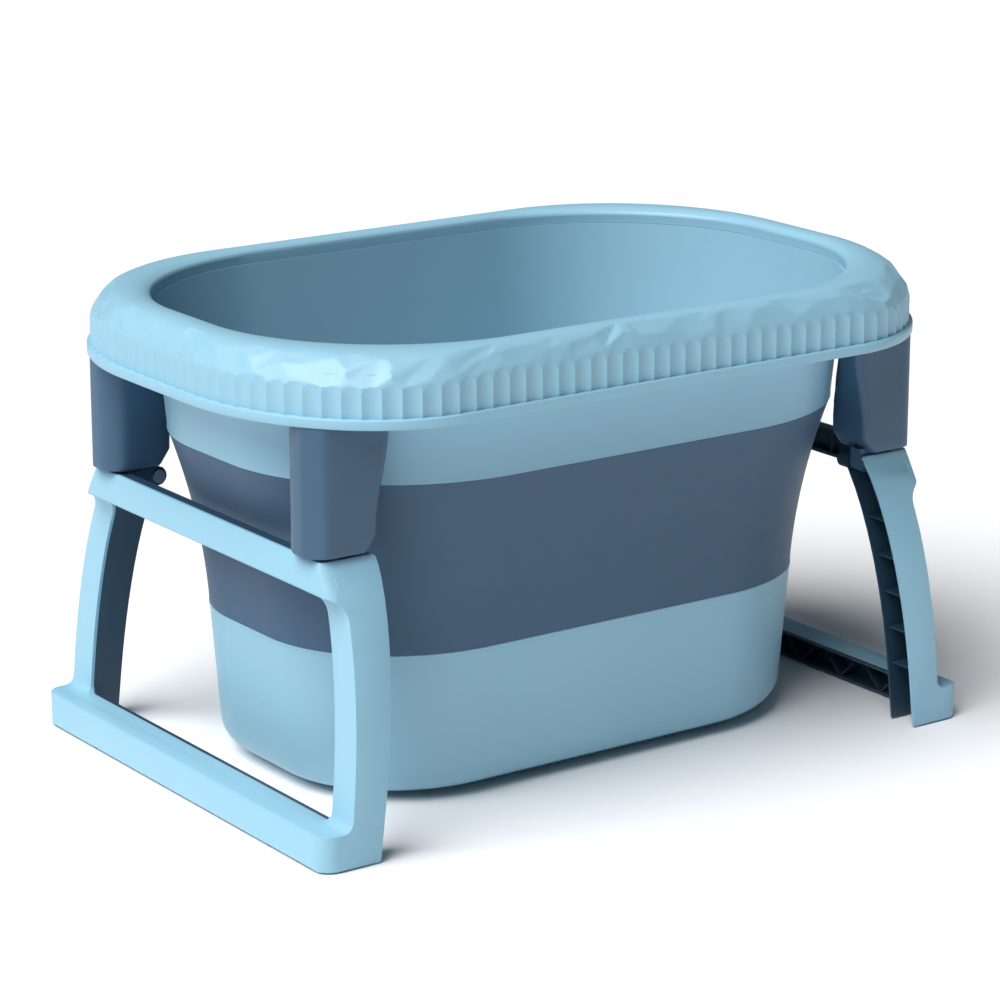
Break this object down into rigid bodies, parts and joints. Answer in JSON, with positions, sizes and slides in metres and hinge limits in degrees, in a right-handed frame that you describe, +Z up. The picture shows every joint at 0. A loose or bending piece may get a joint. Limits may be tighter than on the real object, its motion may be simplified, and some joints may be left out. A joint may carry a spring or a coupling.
{
  "type": "baby bathtub",
  "caption": "Foldable oval baby bathtub with a soft folding wall, hung in a broad rim that stands on two fold-in leg frames.",
  "frame": {"origin": "on the floor under the middle of the tub, tub standing open on its legs", "axes": "+X along the tub, +Y towards its rear side, +Z up"},
  "size_m": [0.76, 0.512, 0.445],
  "materials": {
    "light_shell": "light blue moulded polypropylene, satin",
    "soft_wall": "dark blue thermoplastic elastomer, matte",
    "dark_shell": "dark blue moulded polypropylene, satin",
    "liner": "ink blue moulded polypropylene, satin",
    "rubber": "black rubber, matte",
    "screw_steel": "zinc-plated steel"
  },
  "bodies": {
    "root": {"rim_cover": "light_shell", "upper_frame": "light_shell", "folding_wall": "soft_wall", "post_front_left": "dark_shell", "post_front_right": "dark_shell", "post_rear_left": "dark_shell", "post_rear_right": "dark_shell", "post_screws": "screw_steel"},
    "bucket": {"lower_bucket": "light_shell", "drain_outlet": "light_shell"},
    "plug": {"drain_plug": "dark_shell", "drain_seal": "rubber"},
    "left_leg": {"left_leg_shell": "light_shell", "left_leg_liner": "liner", "left_front_pin": "screw_steel", "left_rear_pin": "screw_steel", "left_foot_pads": "rubber", "left_liner_screws": "screw_steel"},
    "right_leg": {"right_leg_shell": "light_shell", "right_leg_liner": "liner", "right_front_pin": "screw_steel", "right_rear_pin": "screw_steel", "right_foot_pads": "rubber", "right_liner_screws": "screw_steel"}
  },
  "joints": [
    {"name": "bucket_lift", "type": "slide", "parent": "root", "child": "bucket", "axis": [0, 0, 1], "range_m": [0, 0.26], "deforming": ["folding_wall"]},
    {"name": "left_leg_fold", "type": "hinge", "parent": "root", "child": "left_leg", "pos_m": [-0.286, 0, 0.254], "axis": [0, -1, 0], "range_deg": [0, 90]},
    {"name": "right_leg_fold", "type": "hinge", "parent": "root", "child": "right_leg", "pos_m": [0.286, 0, 0.254], "axis": [0, 1, 0], "range_deg": [0, 90]},
    {"name": "plug_lift", "type": "slide", "parent": "bucket", "child": "plug", "axis": [0, 0, 1], "range_m": [0, 0.04]}
  ],
  "couplings": [
    {"joint": "left_leg_fold", "follows": "bucket_lift", "rad_per_m": 6.04},
    {"joint": "right_leg_fold", "follows": "bucket_lift", "rad_per_m": 6.04}
  ]
}
